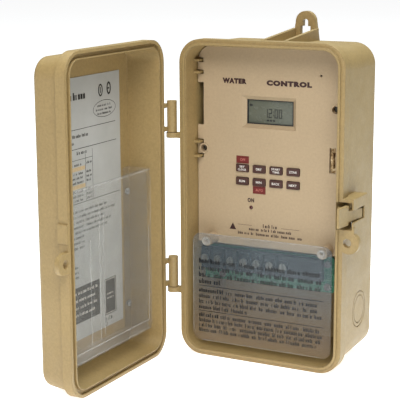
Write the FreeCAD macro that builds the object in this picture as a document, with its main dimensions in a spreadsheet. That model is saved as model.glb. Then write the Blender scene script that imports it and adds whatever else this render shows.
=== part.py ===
# Outdoor irrigation timer in a rain-tight plastic case with a side-hinged door.
# Frame: millimetres, +Z up, +X to the right, the wall is the plane Y = 0 and the
# front of the case faces -Y. The origin is the centre of the back of the case.
# The door is drawn shut and then swung open a quarter turn by its Placement.
import FreeCAD
import Part
import os
import Sketcher
from FreeCAD import Vector, Rotation, Placement

os.makedirs("parts", exist_ok=True)
doc = FreeCAD.newDocument("IrrigationTimer")

# ---------------------------------------------------------------- dimensions
SIZES = [
    ("CaseHigh", 248.0), ("CaseWide", 135.5), ("CaseDeep", 70.0), ("CaseRound", 18.0),
    ("BackHigh", 240.4), ("BackWide", 129.8), ("BackRound", 16.8),
    ("NeckHigh", 243.2), ("NeckWide", 132.6), ("NeckRound", 17.6), ("NeckAt", 66.0),
    ("CollarDeep", 10.0), ("BackWall", 3.4), ("LipDeep", 3.5),
    ("CavityHigh", 238.4), ("CavityWide", 126.4), ("CavityRound", 14.0),
    ("FloorHigh", 234.0), ("FloorWide", 123.4), ("FloorRound", 12.6),
    ("MouthHigh", 237.8), ("MouthWide", 124.4), ("MouthRound", 12.6),
    ("TongueHigh", 1.5), ("TongueWall", 1.8), ("TongueInset", 0.5),
    ("LugAt", 8.0), ("LugThick", 4.5), ("LugTopAt", 134.6), ("LugRadius", 8.2),
    ("LugBase", 21.4), ("SlotWide", 4.4), ("KeyWide", 8.4),
    ("HingeX", -75.6), ("HingeY", -68.0), ("HingeAt", 61.7), ("BarrelRadius", 3.9),
    ("PinRadius", 2.0), ("PinBore", 2.08), ("BracketRadius", 4.6), ("BracketThick", 4.0),
    ("BlockOut", 76.0), ("BlockDeep", 29.0), ("BlockTop", 12.0), ("BlockBottom", -13.0),
    ("LatchX", 70.4), ("LatchY", -58.0), ("LatchZ", 0.4), ("LatchPin", 1.2),
    ("LatchBore", 1.26), ("LatchWide", 14.4),
    ("LoopX", 72.4), ("LoopZ", -21.0), ("LoopRadius", 8.3), ("LoopBore", 6.5), ("LoopThick", 4.5),
    ("KnockY", -27.8), ("KnockZ", -82.4), ("KnockBig", 28.6), ("KnockSmall", 22.2),
    ("MountX", 40.0), ("MountZ", -78.0), ("MountBore", 5.6),
    ("DoorAt", 70.2), ("DoorDeep", 29.8), ("DoorHigh", 238.0), ("DoorWide", 126.0), ("DoorRound", 14.0),
    ("DoorCollar", 8.0), ("DoorWall", 2.6),
    ("TrayHigh", 235.6), ("TrayWide", 121.2), ("TrayRound", 11.0),
    ("TrayFloorHigh", 231.0), ("TrayFloorWide", 117.0), ("TrayFloorRound", 9.0),
    ("GrooveDeep", 2.2), ("GrooveOutHigh", 243.4), ("GrooveOutWide", 130.0), ("GrooveOutRound", 15.4),
    ("GrooveInHigh", 237.2), ("GrooveInWide", 123.8), ("GrooveInRound", 12.4),
    ("PanelFace", 50.0), ("PanelThick", 2.0), ("PanelHigh", 155.2), ("PanelWide", 124.6),
    ("PanelMid", 40.4), ("PanelRound", 13.4),
    ("KeyPitchX", 14.25), ("KeyPitchZ", 10.25), ("KeyFirstX", -23.5), ("KeyFirstZ", 24.4),
    ("KeyHoleWide", 11.0), ("KeyHoleHigh", 6.2), ("KeyCapWide", 10.6), ("KeyCapHigh", 5.8),
    ("KeyProud", 1.1),
    ("GlassWide", 38.6), ("GlassHigh", 18.8), ("BezelWide", 45.2), ("BezelHigh", 24.6),
    ("GlassX", -1.8), ("GlassZ", 68.2),
    ("TermPitch", 11.35), ("TermFirst", -58.0), ("TermZ", -51.4),
    ("SheetWide", 117.2), ("SheetHigh", 87.0), ("SheetFace", 63.5), ("SheetThick", 1.0),
    ("SheetMid", -71.0), ("SheetRound", 7.0),
    ("LabelWide", 94.0), ("LabelHigh", 196.0), ("LabelThick", 0.3),
]
sheet = doc.addObject("Spreadsheet::Sheet", "Dims")
for row, (alias, value) in enumerate(SIZES, start=1):
    sheet.set("A%d" % row, alias)
    sheet.set("B%d" % row, "%g" % value)
    sheet.setAlias("B%d" % row, alias)
doc.recompute()
DIM = dict(SIZES)


def number(size):
    """The plain value of a size, which is a number or an expression over the sheet."""
    if isinstance(size, (int, float)):
        return float(size)
    total = 0.0
    for piece in size.replace("-", "+-").split("+"):
        piece = piece.strip()
        if not piece:
            continue
        sign = -1.0 if piece.startswith("-") else 1.0
        product = sign
        for factor in piece.lstrip("-").strip().split("*"):
            factor = factor.strip()
            upper, slash, lower = factor.partition("/")
            amount = DIM[upper] if upper in DIM else float(upper)
            product *= amount / float(lower) if slash else amount
        total += product
    return total


def formula(size):
    """The same size as an expression, or None for a number."""
    if isinstance(size, (int, float)):
        return None
    out = size
    for alias in sorted(DIM, key=len, reverse=True):
        out = out.replace(alias, "#" + "%03d" % list(DIM).index(alias) + "#")
    for place, alias in enumerate(DIM):
        out = out.replace("#%03d#" % place, "Dims." + alias)
    return out


def bind(thing, path, size):
    """Bind one property to a size when the size is an expression."""
    text = formula(size)
    if text is not None:
        thing.setExpression(path, text)


# ------------------------------------------------------------------ sketches
def limit(sketch, name, constraint, size):
    """Add one named driving constraint and bind it to a size."""
    index = sketch.addConstraint(constraint)
    sketch.renameConstraint(index, name)
    bind(sketch, "Constraints." + name, size)


def draw_rect(sketch, wide, high, tag=""):
    w, h = number(wide) / 2, number(high) / 2
    ends = [(-w, -h), (w, -h), (w, h), (-w, h)]
    first = sketch.GeometryCount
    for i in range(4):
        a, b = ends[i], ends[(i + 1) % 4]
        sketch.addGeometry(Part.LineSegment(Vector(a[0], a[1], 0), Vector(b[0], b[1], 0)), False)
    for i in range(4):
        sketch.addConstraint(Sketcher.Constraint("Coincident", first + i, 2, first + (i + 1) % 4, 1))
    sketch.addConstraint(Sketcher.Constraint("Horizontal", first))
    sketch.addConstraint(Sketcher.Constraint("Horizontal", first + 2))
    sketch.addConstraint(Sketcher.Constraint("Vertical", first + 1))
    sketch.addConstraint(Sketcher.Constraint("Vertical", first + 3))
    sketch.addConstraint(Sketcher.Constraint("Symmetric", first, 1, first + 2, 1, -1, 1))
    limit(sketch, "Wide" + tag, Sketcher.Constraint("DistanceX", first, 1, first, 2, 2 * w), wide)
    limit(sketch, "High" + tag, Sketcher.Constraint("DistanceY", first + 1, 1, first + 1, 2, 2 * h), high)


def draw_round(sketch, wide, high, radius, tag=""):
    w, h, r = number(wide) / 2, number(high) / 2, number(radius)
    first = sketch.GeometryCount
    quarter = 1.5707963267948966
    corners = [(w - r, -h + r, -quarter), (w - r, h - r, 0.0), (-w + r, h - r, quarter),
               (-w + r, -h + r, 2 * quarter)]
    sides = [((-w + r, -h), (w - r, -h)), ((w, -h + r), (w, h - r)), ((w - r, h), (-w + r, h)),
             ((-w, h - r), (-w, -h + r))]
    for i in range(4):
        a, b = sides[i]
        sketch.addGeometry(Part.LineSegment(Vector(a[0], a[1], 0), Vector(b[0], b[1], 0)), False)
        cx, cy, start = corners[i]
        circle = Part.Circle(Vector(cx, cy, 0), Vector(0, 0, 1), r)
        sketch.addGeometry(Part.ArcOfCircle(circle, start, start + quarter), False)
    for i in range(4):
        line, arc, after = first + 2 * i, first + 2 * i + 1, first + (2 * i + 2) % 8
        sketch.addConstraint(Sketcher.Constraint("Tangent", line, 2, arc, 1))
        sketch.addConstraint(Sketcher.Constraint("Tangent", arc, 2, after, 1))
    sketch.addConstraint(Sketcher.Constraint("Horizontal", first))
    sketch.addConstraint(Sketcher.Constraint("Horizontal", first + 4))
    sketch.addConstraint(Sketcher.Constraint("Vertical", first + 2))
    sketch.addConstraint(Sketcher.Constraint("Vertical", first + 6))
    for i in (1, 3, 5):
        sketch.addConstraint(Sketcher.Constraint("Equal", first + i, first + i + 2))
    sketch.addConstraint(Sketcher.Constraint("Symmetric", first + 1, 3, first + 5, 3, -1, 1))
    limit(sketch, "Wide" + tag, Sketcher.Constraint("DistanceX", first + 6, 1, first + 2, 2, 2 * w), wide)
    limit(sketch, "High" + tag, Sketcher.Constraint("DistanceY", first, 1, first + 4, 2, 2 * h), high)
    limit(sketch, "Round" + tag, Sketcher.Constraint("Radius", first + 1, r), radius)


def draw_disc(sketch, radius, tag=""):
    r = number(radius)
    first = sketch.GeometryCount
    sketch.addGeometry(Part.Circle(Vector(0, 0, 0), Vector(0, 0, 1), r), False)
    sketch.addConstraint(Sketcher.Constraint("Coincident", first, 3, -1, 1))
    limit(sketch, "Radius" + tag, Sketcher.Constraint("Radius", first, r), radius)


def draw_trap(sketch, base, top, high):
    """A trapezium standing on the sketch's own horizontal axis."""
    b, t, h = number(base) / 2, number(top) / 2, number(high)
    ends = [(-b, 0), (b, 0), (t, h), (-t, h)]
    for i in range(4):
        a, c = ends[i], ends[(i + 1) % 4]
        sketch.addGeometry(Part.LineSegment(Vector(a[0], a[1], 0), Vector(c[0], c[1], 0)), False)
    for i in range(4):
        sketch.addConstraint(Sketcher.Constraint("Coincident", i, 2, (i + 1) % 4, 1))
    sketch.addConstraint(Sketcher.Constraint("Symmetric", 0, 1, 0, 2, -1, 1))
    sketch.addConstraint(Sketcher.Constraint("Horizontal", 0))
    sketch.addConstraint(Sketcher.Constraint("Symmetric", 2, 1, 2, 2, -2))
    limit(sketch, "Base", Sketcher.Constraint("DistanceX", 0, 1, 0, 2, 2 * b), base)
    limit(sketch, "Top", Sketcher.Constraint("DistanceX", 2, 2, 2, 1, 2 * t), top)
    limit(sketch, "High", Sketcher.Constraint("DistanceY", 0, 1, 2, 2, h), high)


def draw_ramp(sketch, long, near, far):
    """A strip from the origin along +x, near tall at the origin and far tall at its end."""
    length, a, b = number(long), number(near), number(far)
    ends = [(0, 0), (length, 0), (length, b), (0, a)]
    for i in range(4):
        p, q = ends[i], ends[(i + 1) % 4]
        sketch.addGeometry(Part.LineSegment(Vector(p[0], p[1], 0), Vector(q[0], q[1], 0)), False)
    for i in range(4):
        sketch.addConstraint(Sketcher.Constraint("Coincident", i, 2, (i + 1) % 4, 1))
    sketch.addConstraint(Sketcher.Constraint("Coincident", 0, 1, -1, 1))
    sketch.addConstraint(Sketcher.Constraint("Horizontal", 0))
    sketch.addConstraint(Sketcher.Constraint("Vertical", 1))
    sketch.addConstraint(Sketcher.Constraint("Vertical", 3))
    limit(sketch, "Long", Sketcher.Constraint("DistanceX", 0, 1, 0, 2, length), long)
    limit(sketch, "Far", Sketcher.Constraint("DistanceY", 1, 1, 1, 2, b), far)
    limit(sketch, "Near", Sketcher.Constraint("DistanceY", 3, 2, 3, 1, a), near)


def draw_quad(sketch, *spots):
    """Four corners, each given as a distance along and a distance up from the origin."""
    ends = [(number(spots[i]), number(spots[i + 1])) for i in (0, 2, 4, 6)]
    for i in range(4):
        p, q = ends[i], ends[(i + 1) % 4]
        sketch.addGeometry(Part.LineSegment(Vector(p[0], p[1], 0), Vector(q[0], q[1], 0)), False)
    for i in range(4):
        sketch.addConstraint(Sketcher.Constraint("Coincident", i, 2, (i + 1) % 4, 1))
    for i in range(4):
        limit(sketch, "Along%d" % i, Sketcher.Constraint("DistanceX", -1, 1, i, 1, ends[i][0]),
              spots[2 * i])
        limit(sketch, "Up%d" % i, Sketcher.Constraint("DistanceY", -1, 1, i, 1, ends[i][1]),
              spots[2 * i + 1])


DRAW = {"rect": draw_rect, "round": draw_round, "disc": draw_disc, "trap": draw_trap,
        "ramp": draw_ramp, "quad": draw_quad}


class Solid:
    """A body built from centred outlines on its own three planes.

    On "XZ" the sketch axes are X and Z and depth is measured towards the front (-Y);
    on "YZ" they are Y and Z and depth is +X; on "XY" they are X and Y and depth is +Z.
    """

    def __init__(self, name):
        self.body = doc.addObject("PartDesign::Body", name)
        self.body.Label = name
        self.count = 0

    def sketch(self, plane, at, shape):
        self.count += 1
        sketch = self.body.newObject("Sketcher::SketchObject", "%s_s%d" % (self.body.Name, self.count))
        for feature in self.body.Origin.OriginFeatures:
            if getattr(feature, "Role", "") == plane + "_Plane":
                sketch.AttachmentSupport = [(feature, "")]
        sketch.MapMode = "FlatFace"
        spot = [number(v) for v in at]
        sketch.AttachmentOffset = Placement(Vector(*spot), Rotation())
        for axis, size in zip("xyz", at):
            bind(sketch, "AttachmentOffset.Base." + axis, size)
        for tag, one in zip(("", "B"), shape if isinstance(shape[0], tuple) else (shape,)):
            if tag:
                DRAW[one[0]](sketch, *one[1:], tag=tag)
            else:
                DRAW[one[0]](sketch, *one[1:])
        return sketch

    def grow(self, plane, at, shape, length, cut=False, back=False):
        """Pad (or pocket) a sketch by a length along its depth direction."""
        sketch = self.sketch(plane, at, shape)
        kind = "PartDesign::Pocket" if cut else "PartDesign::Pad"
        feature = self.body.newObject(kind, "%s_f%d" % (self.body.Name, self.count))
        feature.Profile = sketch
        feature.Length = number(length)
        bind(feature, "Length", length)
        feature.Reversed = bool(back) != bool(cut)
        self.body.Tip = feature
        sketch.Visibility = False
        return feature

    def cut(self, plane, at, shape, length):
        return self.grow(plane, at, shape, length, cut=True)

    def loft(self, plane, first, second, cut=False):
        """Blend between two sketches, each given as (at, shape)."""
        one = self.sketch(plane, *first)
        two = self.sketch(plane, *second)
        kind = "PartDesign::SubtractiveLoft" if cut else "PartDesign::AdditiveLoft"
        feature = self.body.newObject(kind, "%s_l%d" % (self.body.Name, self.count))
        feature.Profile = one
        feature.Sections = [two]
        feature.Ruled = True
        self.body.Tip = feature
        one.Visibility = False
        two.Visibility = False
        return feature

    def soften(self, chosen, radius):
        """Round the edges of the tip whose own bounding box passes a test."""
        doc.recompute()
        tip = self.body.Tip
        names = []
        for index, edge in enumerate(tip.Shape.Edges, start=1):
            if chosen(edge.BoundBox):
                names.append("Edge%d" % index)
        feature = self.body.newObject("PartDesign::Fillet", "%s_r%d" % (self.body.Name, self.count))
        feature.Base = (tip, names)
        feature.Radius = radius
        self.body.Tip = feature
        doc.recompute()
        if "Invalid" in feature.State or not feature.Shape.isValid():
            raise RuntimeError("fillet failed on " + self.body.Name)
        return feature


SHAPES = []


def keep(thing, name):
    """Register one finished sub-part under the name of its node."""
    thing.Label = name
    SHAPES.append((thing, name))
    return thing


def place(thing, at):
    thing.Placement = Placement(Vector(*[number(v) for v in at]), thing.Placement.Rotation)
    for axis, size in zip("xyz", at):
        bind(thing, "Placement.Base." + axis, size)
    return thing


def brick(name, at, size):
    """A plain block given by its lowest corner and its size."""
    thing = doc.addObject("Part::Box", name)
    for prop, value in zip(("Length", "Width", "Height"), size):
        setattr(thing, prop, number(value))
        bind(thing, prop, value)
    return place(thing, at)


TURN = {"X": Rotation(Vector(0, 1, 0), 90), "Y": Rotation(Vector(1, 0, 0), -90), "Z": Rotation()}


def rod(name, at, radius, length, axis="Y"):
    """A plain cylinder from a point along +X, +Y or +Z."""
    thing = doc.addObject("Part::Cylinder", name)
    thing.Radius = number(radius)
    thing.Height = number(length)
    bind(thing, "Radius", radius)
    bind(thing, "Height", length)
    thing.Placement = Placement(Vector(0, 0, 0), TURN[axis])
    return place(thing, at)


def join(name, things):
    whole = doc.addObject("Part::MultiFuse", name)
    whole.Shapes = things
    whole.Refine = True
    return whole


def minus(name, base, tool):
    whole = doc.addObject("Part::Cut", name)
    whole.Base = base
    whole.Tool = tool
    return whole


def group(name, things):
    """Several separate, identical solids that share one node."""
    whole = doc.addObject("Part::Compound", name)
    whole.Links = things
    return whole


# ----------------------------------------------------------------- the case
FIELD_HOLES = [(-45.0, -64.5), (45.0, -64.5), (45.0, -46.5)]


def build_case():
    case = Solid("box_shell")
    case.loft("XZ", ((0, 0, 0), ("round", "BackWide", "BackHigh", "BackRound")),
              ((0, 0, "NeckAt"), ("round", "NeckWide", "NeckHigh", "NeckRound")))
    case.soften(lambda b: b.YMin > -0.01, 2.0)
    case.grow("XZ", (0, 0, "CaseDeep-CollarDeep"), ("round", "CaseWide", "CaseHigh", "CaseRound"),
              "CollarDeep")
    # hanging lug with its two webs
    case.grow("XZ", ("LugAt", 118.0, 0), ("trap", "LugBase", "2*LugRadius", "LugTopAt-118"), "LugThick")
    case.grow("XZ", ("LugAt", "LugTopAt", 0), ("disc", "LugRadius"), "LugThick")
    for side in (-9.2, 9.2):
        case.grow("YZ", ("-62.5", 118.0, "LugAt+%g" % (side - 1.5) if side > 1.5 else
                         "LugAt-%g" % (1.5 - side)), ("ramp", 59.5, 6.4, 11.6), 3.0)
    # latch housing, padlock loop and hinge brackets on the sides
    case.grow("XZ", ("BlockOut/2+31.5", "BlockTop/2+BlockBottom/2", "CaseDeep-BlockDeep"),
              ("rect", "BlockOut-63", "BlockTop-BlockBottom"), "BlockDeep")
    case.grow("XZ", ("LoopX", "LoopZ", "CaseDeep-LoopThick"), ("disc", "LoopRadius"), "LoopThick")
    case.grow("XZ", (70.5, -18.0, "CaseDeep-LoopThick"), ("rect", 12.0, 18.0), "LoopThick")
    for middle in ("HingeAt", "-HingeAt"):
        case.grow("XY", ("HingeX", "HingeY", middle + "-14.5"), ("disc", "BracketRadius"), "BracketThick")
        case.grow("XY", ("HingeX+5.8", -66.7, middle + "-14.5"), ("rect", 11.6, 6.2), "BracketThick")
    # hollow inside, with a small inward lip round the mouth
    case.loft("XZ", ((0, 0, "CaseDeep-LipDeep"), ("round", "CavityWide", "CavityHigh", "CavityRound")),
              ((0, 0, "BackWall"), ("round", "FloorWide", "FloorHigh", "FloorRound")), cut=True)
    case.cut("XZ", (0, 0, "CaseDeep-LipDeep-0.5"), ("round", "MouthWide", "MouthHigh", "MouthRound"), 6.0)
    # raised tongue round the mouth that enters the groove of the door
    case.grow("XZ", (0, 0, "CaseDeep-0.2"),
              (("round", "MouthWide+2*TongueInset+2*TongueWall", "MouthHigh+2*TongueInset+2*TongueWall",
                "MouthRound+TongueInset+TongueWall"),
               ("round", "MouthWide+2*TongueInset", "MouthHigh+2*TongueInset", "MouthRound+TongueInset")),
              "TongueHigh+0.2")
    # thickened wall behind the latch
    case.grow("XZ", (62.6, -0.5, 43.0), ("rect", 3.6, 25.0), 23.0)
    # latch chamber, its side window and the pin hole
    case.cut("XZ", (68.9, -0.85, 44.0), ("rect", 11.8, 20.5), 29.0)
    case.cut("YZ", (-61.4, -0.7, 73.0), ("rect", 27.2, 9.4), 5.0)
    case.cut("XY", ("LatchX", "LatchY", "BlockBottom-1"), ("disc", "LatchBore"), 25.2)
    # padlock hole, keyhole and wall screw holes
    case.cut("XZ", ("LoopX-1", "LoopZ", "CaseDeep-LoopThick-1"), ("disc", "LoopBore/2"), "LoopThick+3")
    case.cut("XZ", ("LugAt", "LugTopAt", -1), ("disc", "SlotWide/2"), "LugThick+2")
    case.cut("XZ", ("LugAt", "LugTopAt-2.5", -1), ("rect", "SlotWide", 5.0), "LugThick+2")
    case.cut("XZ", ("LugAt", 127.6, -1), ("rect", "KeyWide", 7.2), "LugThick+2")
    for middle in ("MountX", "-MountX"):
        case.cut("XZ", (middle, "MountZ", -1), ("disc", "MountBore/2"), "BackWall+2")
    for middle in ("HingeAt", "-HingeAt"):
        case.cut("XY", ("HingeX", "HingeY", middle + "-15"), ("disc", "PinRadius+0.04"), 6.0)
    # thin rings that mark the conduit knockouts
    for ring in ("KnockBig", "KnockSmall"):
        case.cut("YZ", ("KnockY", "KnockZ", 64.7), (("disc", ring + "/2"), ("disc", ring + "/2-0.7")), 3.0)
        for middle in (-28.0, 28.0):
            case.cut("XY", (middle, "KnockY-6", -123.0), (("disc", ring + "/2"), ("disc", ring + "/2-0.7")),
                     3.0)
    # ribs that hold the edges of the panel, and bosses for its screws
    for high in (106.3, 97.0, 43.0, 31.6):
        case.grow("XZ", (-60.7, high, 3.0), ("rect", 4.6, 1.8), 52.6)
        case.grow("XZ", (60.9, high, 3.0), ("rect", 4.2, 1.8), 52.6)
    for spot in ((-57.0, 37.6), (52.8, 73.8)):
        case.grow("XZ", (spot[0], spot[1], 3.0), (("disc", 3.9), ("disc", 1.3)), 38.8)
        case.grow("XZ", (spot[0], spot[1], 3.0), ("disc", 1.5), 10.0)
    # bosses for the circuit boards
    for side in (-45.0, 45.0):
        for high in (-30.0, 88.0):
            case.grow("XZ", (side, high, 3.0), (("disc", 3.4), ("disc", 1.2)), 19.4)
            case.grow("XZ", (side, high, 3.0), ("disc", 1.4), 8.0)
    for side, high in FIELD_HOLES:
        case.grow("XZ", (side, high, 3.0), (("disc", 3.4), ("disc", 1.2)), 36.4)
        case.grow("XZ", (side, high, 3.0), ("disc", 1.4), 25.0)
    return case


# ----------------------------------------------------------------- the door
def build_door():
    door = Solid("door_shell")
    door.loft("XZ", ((0, 0, "DoorAt+6"), ("round", 131.4, 243.4, 16.4)),
              ((0, 0, "DoorAt+DoorDeep"), ("round", "DoorWide", "DoorHigh", "DoorRound")))
    door.soften(lambda b: b.YMax < -99.9, 4.5)
    door.grow("XZ", (0, 0, "DoorAt"), ("round", "CaseWide", "CaseHigh", "CaseRound"), "DoorCollar")
    # strike pad for the latch and the padlock loop on the free side
    door.grow("XZ", (68.0, -0.6, "DoorAt"), ("rect", 2.0, 13.8), 8.5)
    door.grow("XZ", ("LoopX", "LoopZ", "DoorAt"), ("disc", "LoopRadius-0.6"), 4.0)
    door.grow("XZ", (69.2, "LoopZ", "DoorAt"), ("rect", 6.4, "2*LoopRadius-1.2"), 4.0)
    door.cut("XZ", ("LoopX-1", "LoopZ", "DoorAt-1"), ("disc", "LoopBore/2"), 7.0)
    # hinge barrels with two arms each
    for middle in ("HingeAt", "-HingeAt"):
        door.grow("XY", ("HingeX", "HingeY", middle + "-10.2"), ("disc", "BarrelRadius"), 24.4)
        for high in (-9.4, 8.8):
            sign = "-" if high < 0 else "+"
            door.grow("XY", ("HingeX+4.4", -72.2, "%s%s%g" % (middle, sign, abs(high))),
                      ("rect", 9.4, 3.6), 3.0)
        door.cut("XY", ("HingeX", "HingeY", middle + "-11"), ("disc", "PinBore"), 21.2)
    # groove round the mouth, then the hollow tray
    door.cut("XZ", (0, 0, "DoorAt-1"), ("round", "GrooveOutWide", "GrooveOutHigh", "GrooveOutRound"),
             "GrooveDeep+1")
    door.grow("XZ", (0, 0, "DoorAt"), ("round", "GrooveInWide", "GrooveInHigh", "GrooveInRound"),
              "GrooveDeep+0.5")
    door.loft("XZ", ((0, 0, "DoorAt-0.01"), ("round", "TrayWide", "TrayHigh", "TrayRound")),
              ((0, 0, "DoorAt+DoorDeep-DoorWall"),
               ("round", "TrayFloorWide", "TrayFloorHigh", "TrayFloorRound")), cut=True)
    # blind holes for the rivets of the document holder
    for side in (-53.2, 53.2):
        for high in (-84.0, 6.0):
            door.cut("XZ", (side, high, 96.0), ("disc", 1.25), 3.0)
    return door


# -------------------------------------------------------------- front panel
KEYS = [(col, row) for row in range(2) for col in range(4)]


def key_spot(col, row):
    return ("KeyFirstX+%d*KeyPitchX" % col, "KeyFirstZ-%d*KeyPitchZ" % row)


def build_panel():
    panel = Solid("faceplate")
    panel.grow("XZ", (0, "PanelMid", "PanelFace-PanelThick"),
               ("round", "PanelWide", "PanelHigh", "PanelRound"), "PanelThick")
    panel.grow("XZ", (0, -27.2, "PanelFace-PanelThick"), ("rect", "PanelWide", 20.0), "PanelThick")
    panel.grow("XZ", (0, -36.2, 42.6), ("rect", 112.0, 2.0), 6.0)
    # frame behind the display, with a bevelled opening
    panel.grow("XZ", ("GlassX", "GlassZ", 44.8), ("rect", 49.6, 29.0), 3.4)
    panel.cut("XZ", ("GlassX", "GlassZ", 44.0), ("rect", 42.4, 22.6), 3.0)
    panel.loft("XZ", (("GlassX", "GlassZ", "PanelFace+0.01"), ("rect", "BezelWide", "BezelHigh")),
               (("GlassX", "GlassZ", 46.99), ("rect", "GlassWide", "GlassHigh")), cut=True)
    # openings for the keys, the lamp and the reset pin
    for col, row in KEYS:
        x, z = key_spot(col, row)
        panel.cut("XZ", (x, z, 47.0), ("round", "KeyHoleWide", "KeyHoleHigh", 0.9), 4.0)
    panel.cut("XZ", (-16.2, -6.2, 47.0), ("disc", 1.65), 4.0)
    panel.cut("XZ", (40.8, 98.4, 47.0), ("disc", 0.9), 4.0)
    # sunk sockets for the two fixing screws
    for x, z in ((-57.0, 37.6), (52.8, 73.8)):
        panel.grow("XZ", (x, z, 42.0), ("disc", 4.1), 8.6)
        panel.cut("XZ", (x, z, 43.6), ("disc", 2.8), 8.0)
        panel.cut("XZ", (x, z, 41.0), ("disc", 1.7), 4.0)
    # notches for the ribs of the case, the deeper one on the left, and the latch wall
    for z in (106.3, 97.0, 43.0, 31.6):
        panel.cut("XZ", (-60.4, z, 47.0), ("rect", 6.0, 3.4), 4.0)
        panel.cut("XZ", (60.6, z, 47.0), ("rect", 5.6, 3.4), 4.0)
    panel.cut("XZ", (-60.4, 72.5, 47.0), ("rect", 6.2, 33.0), 4.0)
    panel.cut("XZ", (50.9, 35.6, 47.0), ("rect", 5.0, 19.0), 4.0)
    panel.cut("XZ", (61.7, -0.5, 47.0), ("rect", 3.0, 27.0), 4.0)
    # posts that carry the clear sheet and the circuit board
    for x in (-48.6, 48.6):
        panel.grow("XZ", (x, -33.2, "PanelFace-0.5"), ("disc", 4.4), 12.8)
        panel.cut("XZ", (x, -33.2, 54.0), ("disc", 1.25), 9.0)
    for x in (-45.0, 42.0):
        for z in (106.0, -6.0):
            panel.grow("XZ", (x, z, 43.6), ("disc", 2.6), 4.6)
            panel.cut("XZ", (x, z, 43.0), ("disc", 0.95), 4.6)
    return panel


def build_key(number_of, col, row):
    name = "key_%d" % number_of
    x, z = key_spot(col, row)
    key = Solid(name)
    key.grow("XZ", (x, z, 47.1), ("round", 13.0, 8.4, 1.0), 0.8)
    key.grow("XZ", (x, z, 47.6), ("round", "KeyCapWide", "KeyCapHigh", 0.7), "PanelFace-47.6+KeyProud")
    key.grow("XZ", (x, z, 45.9), ("disc", 1.5), 1.4)
    return key


def build_mat():
    mat = Solid("keypad_mat")
    mat.grow("XZ", ("KeyFirstX+1.5*KeyPitchX", "KeyFirstZ-0.5*KeyPitchZ", 43.6),
             ("round", 62.0, 26.0, 2.0), 0.7)
    for col, row in KEYS:
        x, z = key_spot(col, row)
        mat.grow("XZ", (x, z, 44.0), ("disc", 2.6), 1.1)
    return mat


def build_board(name, at, size, holes, bore):
    """A circuit board: at is its middle and rear depth, holes are its screw holes."""
    board = Solid(name)
    board.grow("XZ", at, ("round", size[0], size[1], 2.0), 1.6)
    for x, z in holes:
        board.cut("XZ", (x, z, number(at[2]) - 1), ("disc", bore), 3.6)
    return board


def screw(name, x, z, seat, reach, head, tall, shank, slot):
    """A screw along Y: the head sits on depth seat and the shank runs back to depth reach."""
    one = Solid(name)
    one.grow("XZ", (x, z, reach), ("disc", shank), seat - reach + 0.3)
    one.grow("XZ", (x, z, seat), ("disc", head), tall)
    one.cut("XZ", (x, z, seat + 0.5 * tall), ("rect", slot, 1.6 * head), tall)
    return one.body


def build_hasp():
    hasp = Solid("latch_hasp")
    hasp.grow("XY", (68.0, -88.0, "LatchZ-LatchWide/2"),
              ("quad", 1.6, 1.5, 3.4, 1.5, 4.87, 16.4, 2.0, 16.4), "LatchWide")
    hasp.grow("XY", (68.0, -88.0, -4.9), ("quad", 1.6, 1.5, 3.4, 1.5, 7.05, 38.5, 2.6, 38.5), 8.4)
    hasp.grow("XZ", (69.5, "LatchZ", 79.2), ("rect", 2.8, "LatchWide"), 2.4)
    hasp.cut("YZ", (-61.0, 0.8, 60.0), ("quad", 1.0, 2.7, 14.0, 1.0, 14.0, 8.0, 1.0, 8.0), 20.0)
    hasp.grow("XY", ("LatchX", "LatchY", "LatchZ-LatchWide/2"), ("disc", 3.0), "LatchWide")
    hasp.grow("XZ", (69.9, -0.7, 49.5), ("rect", 2.0, 5.0), 8.5)
    hasp.cut("XY", ("LatchX", "LatchY", -12.0), ("disc", "LatchBore"), 24.0)
    return hasp


def build_spring():
    """A light compression coil behind the tail of the latch."""
    coil = Solid("latch_spring")
    ring = coil.sketch("XY", (0, 2.1, 0), ("disc", 0.28))
    helix = coil.body.newObject("PartDesign::AdditiveHelix", "latch_spring_helix")
    helix.Profile = ring
    for feature in coil.body.Origin.OriginFeatures:
        if getattr(feature, "Role", "") == "X_Axis":
            helix.ReferenceAxis = (feature, [""])
    helix.Mode = 0
    helix.Pitch = 1.25
    helix.Height = 5.0
    coil.body.Tip = helix
    coil.body.Placement = Placement(Vector(63.4, -51.6, -0.7), Rotation())
    return coil


def build_pouch():
    """The clear document holder: front, floor and two sides with flanges on the door."""
    pouch = Solid("document_pouch")
    pouch.grow("XZ", (0, -39.5, "DoorAt+9"), ("rect", 118.2, 129.0), 1.2)
    pouch.grow("XZ", (0, -103.4, "DoorAt+9"), ("rect", 115.4, 1.2), 17.9)
    for side in (-57.1, 57.1):
        pouch.grow("XZ", (side, -39.5, "DoorAt+9"), ("rect", 1.2, 129.0), 17.9)
    for side in (-53.2, 53.2):
        pouch.grow("XZ", (side, -39.5, "DoorAt+25.9"), ("rect", 9.0, 129.0), 1.0)
        for high in (-84.0, 6.0):
            pouch.cut("XZ", (side, high, 95.0), ("disc", 1.3), 3.0)
    return pouch


case = keep(build_case().body, "box_shell")
door = keep(build_door().body, "door_shell")
keep(build_panel().body, "faceplate")
for place_of, (col, row) in enumerate(KEYS, start=1):
    keep(build_key(place_of, col, row).body, "key_%d" % place_of)
keep(build_mat().body, "keypad_mat")

# hinge and latch hardware
pins = []
for tag, middle in (("upper", "HingeAt"), ("lower", "-HingeAt")):
    pins.append(rod("hinge_pin_" + tag, ("HingeX", "HingeY", middle + "-14.3"), "PinRadius", 24.0, "Z"))
keep(group("hinge_pins", pins), "hinge_pins")
keep(build_hasp().body, "latch_hasp")
keep(rod("latch_pin", ("LatchX", "LatchY", "BlockBottom+0.2"), "LatchPin", 23.8, "Z"), "latch_pin")
keep(build_spring().body, "latch_spring")

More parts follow.
